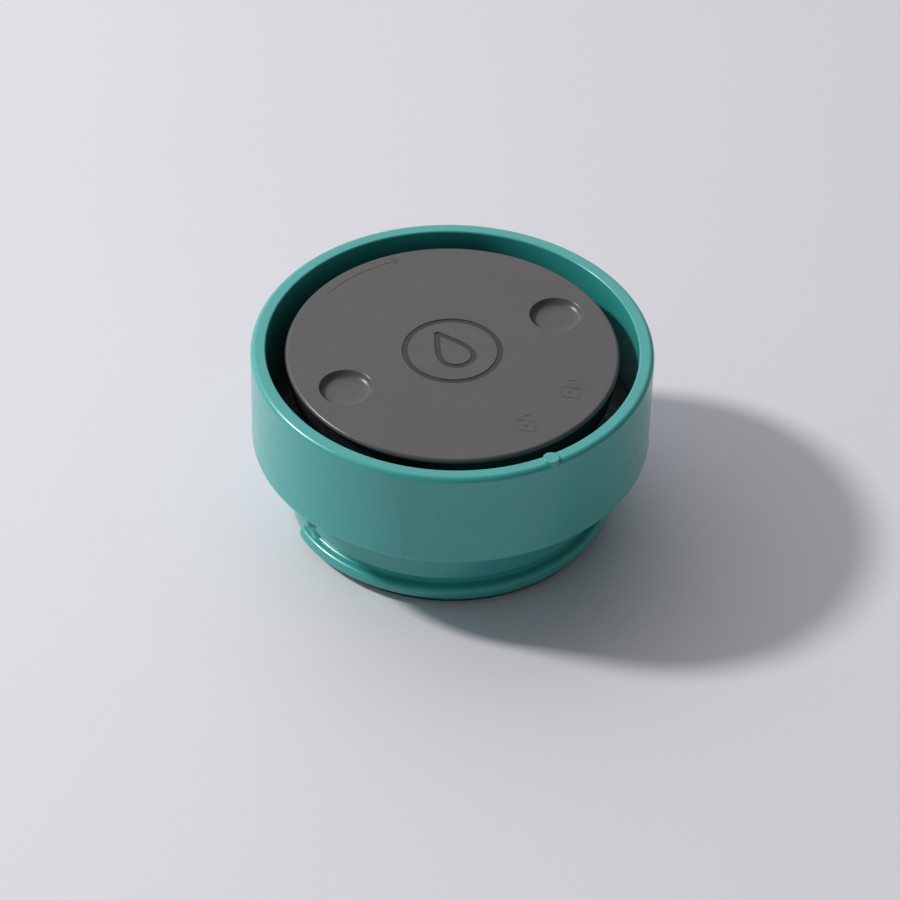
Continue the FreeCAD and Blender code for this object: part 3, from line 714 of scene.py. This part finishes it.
def make_shell(teal):
    """Outer shell: band with its rounded rim, neck with groove and thread, pip on the rim."""
    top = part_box("lid_shell")[1].z
    mesh_data = bmesh.new()
    rings = []
    for step in range(SHELL_SEGMENTS):
        angle = 360 * step / SHELL_SEGMENTS
        rings.append(ring_at(mesh_data, shell_outline(angle), angle))
    for first, second in zip(rings, rings[1:] + rings[:1]):
        join_rings(mesh_data, first, second)
    thread_ridge(mesh_data)
    pip = [(0.0, PIP_BOTTOM), (PIP_RADIUS, PIP_BOTTOM)]
    pip += arc((PIP_RADIUS - PIP_ROUND, top - PIP_ROUND), PIP_ROUND, 0, 90, 8)
    pip += [(0.0, top)]
    centre = (PIP_DISTANCE * math.cos(PIP_ANGLE), PIP_DISTANCE * math.sin(PIP_ANGLE))
    lathe(mesh_data, pip, 64, centre)
    shell = finish_mesh(mesh_data, "cup_lid_shell", [teal])
    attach(shell, "lid")
    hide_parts("lid_shell")


def make_spring(wire):
    """Compression spring with closed ends, wound between the hub floor and the stem's collar."""
    low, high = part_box("return_spring")
    wire_radius = 0.45 * MM
    coil_radius = high.x - wire_radius
    bottom = low.z + wire_radius
    rise = high.z - wire_radius - bottom
    dead_turns = 0.85
    live_turns = 3.6
    total = live_turns + 2 * dead_turns
    steps = 420
    sides = 20
    mesh_data = bmesh.new()
    rings = []
    for step in range(steps + 1):
        turn = total * step / steps
        share = min(max((turn - dead_turns) / live_turns, 0.0), 1.0)
        share = share * share * (3 - 2 * share) * 0.25 + share * 0.75
        angle = 2 * math.pi * turn
        out = Vector((math.cos(angle), math.sin(angle), 0))
        lift = wire_radius * 1.9 * (min(turn, dead_turns) / dead_turns) * 0.5
        drop = wire_radius * 1.9 * (max(turn - dead_turns - live_turns, 0) / dead_turns) * 0.5
        lift_span = rise - wire_radius * 1.9
        centre = out * coil_radius + Vector((0, 0, bottom + lift + drop + lift_span * share))
        ring = []
        for side in range(sides):
            around = 2 * math.pi * side / sides
            offset = out * math.cos(around) + Vector((0, 0, 1)) * math.sin(around)
            ring.append(mesh_data.verts.new(centre + offset * wire_radius))
        rings.append(ring)
    for first, second in zip(rings, rings[1:]):
        for side in range(sides):
            after = (side + 1) % sides
            mesh_data.faces.new([first[side], first[after], second[after], second[side]])
    mesh_data.faces.new(rings[0])
    mesh_data.faces.new(rings[-1])
    spring = finish_mesh(mesh_data, "coil_spring", [wire])
    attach(spring, "lid")
    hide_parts("return_spring")
    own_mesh(spring)


def paint(names, material):
    for name in names:
        mesh = nodes[name].data
        mesh.materials.clear()
        mesh.materials.append(material)


def make_floor():
    mesh = bpy.data.meshes.new("floor")
    half = FLOOR_SIZE / 2
    corners = [(-half, -half, 0), (half, -half, 0), (half, half, 0), (-half, half, 0)]
    mesh.from_pydata(corners, [], [(0, 1, 2, 3)])
    mesh.materials.append(floor_paint())
    floor = bpy.data.objects.new("floor", mesh)
    bpy.context.scene.collection.objects.link(floor)


def way_to(azimuth, elevation):
    across = math.cos(elevation)
    return Vector((across * math.cos(azimuth), across * math.sin(azimuth), math.sin(elevation)))


def make_world():
    """White tent: a wide glow behind the part, a little light from its side, a dim front."""
    world = bpy.data.worlds.new("studio")
    world.use_nodes = True
    tree = world.node_tree
    background = tree.nodes["Background"]
    direction = tree.nodes.new("ShaderNodeTexCoord").outputs["Generated"]
    towards = tree.nodes.new("ShaderNodeVectorMath")
    towards.operation = "DOT_PRODUCT"
    towards.inputs[1].default_value = way_to(GLOW_AZIMUTH, GLOW_ELEVATION)
    tree.links.new(direction, towards.inputs[0])
    glow = remap(tree, towards.outputs["Value"], 0.0, GLOW_STRENGTH, GLOW_EDGE, 1.0)
    axes = tree.nodes.new("ShaderNodeSeparateXYZ")
    tree.links.new(direction, axes.inputs["Vector"])
    side = remap(
        tree, axes.outputs["X"], BASE_STRENGTH + SIDE_STRENGTH, BASE_STRENGTH, SIDE_FROM, SIDE_TO
    )
    tree.links.new(add(tree, glow, side), background.inputs["Strength"])
    background.inputs["Color"].default_value = (0.98, 0.98, 1.03, 1)
    bpy.context.scene.world = world


def make_key():
    data = bpy.data.lights.new("key", "AREA")
    data.shape = "DISK"
    data.size = KEY_SIZE
    data.energy = KEY_POWER
    data.color = (1.0, 0.985, 0.97)
    key = bpy.data.objects.new("key", data)
    bpy.context.scene.collection.objects.link(key)
    way = way_to(KEY_AZIMUTH, KEY_ELEVATION)
    key.location = way * KEY_DISTANCE
    key.rotation_mode = "QUATERNION"
    key.rotation_quaternion = way.to_track_quat("Z", "Y")


def make_camera():
    back = Vector((0, -math.cos(CAMERA_ELEVATION), math.sin(CAMERA_ELEVATION)))
    forward = -back
    right = Vector((1, 0, 0))
    up = right.cross(forward)
    dip = Quaternion(right, CAMERA_DIP)
    forward = dip @ forward
    up = dip @ up
    roll = Quaternion(forward, CAMERA_ROLL)
    right = roll @ right
    up = roll @ up
    data = bpy.data.cameras.new("camera")
    data.lens = FOCAL_LENGTH
    data.sensor_width = 36.0
    camera = bpy.data.objects.new("camera", data)
    bpy.context.scene.collection.objects.link(camera)
    axes = Matrix((right, up, -forward)).transposed()
    camera.matrix_world = Matrix.Translation(TARGET + back * CAMERA_DISTANCE) @ axes.to_4x4()
    bpy.context.scene.camera = camera


make_camera()
make_world()
make_key()
make_floor()

teal = teal_plastic()
grey = button_plastic()
mark = mark_plastic()
charcoal = inner_plastic()
white = acetal()
dark_silicone = silicone("dark_silicone_rubber", (0.030, 0.030, 0.032), (0.060, 0.060, 0.062))
grey_silicone = silicone("grey_silicone_rubber", (0.15, 0.15, 0.155), (0.20, 0.20, 0.20))
wire = spring_wire()

paint(["hub_insert", "hub_cap", "valve_plate", "button_base"], charcoal)
paint(["click_sleeve", "plunger_stem", "click_rotor"], white)
paint(["cup_seal", "insert_seal", "stem_seal"], dark_silicone)
paint(["valve_seal"], grey_silicone)
paint(["rotor_clip"], wire)
make_button(grey, mark, charcoal)
make_shell(teal)
make_spring(wire)

bpy.context.scene.view_settings.view_transform = "Standard"
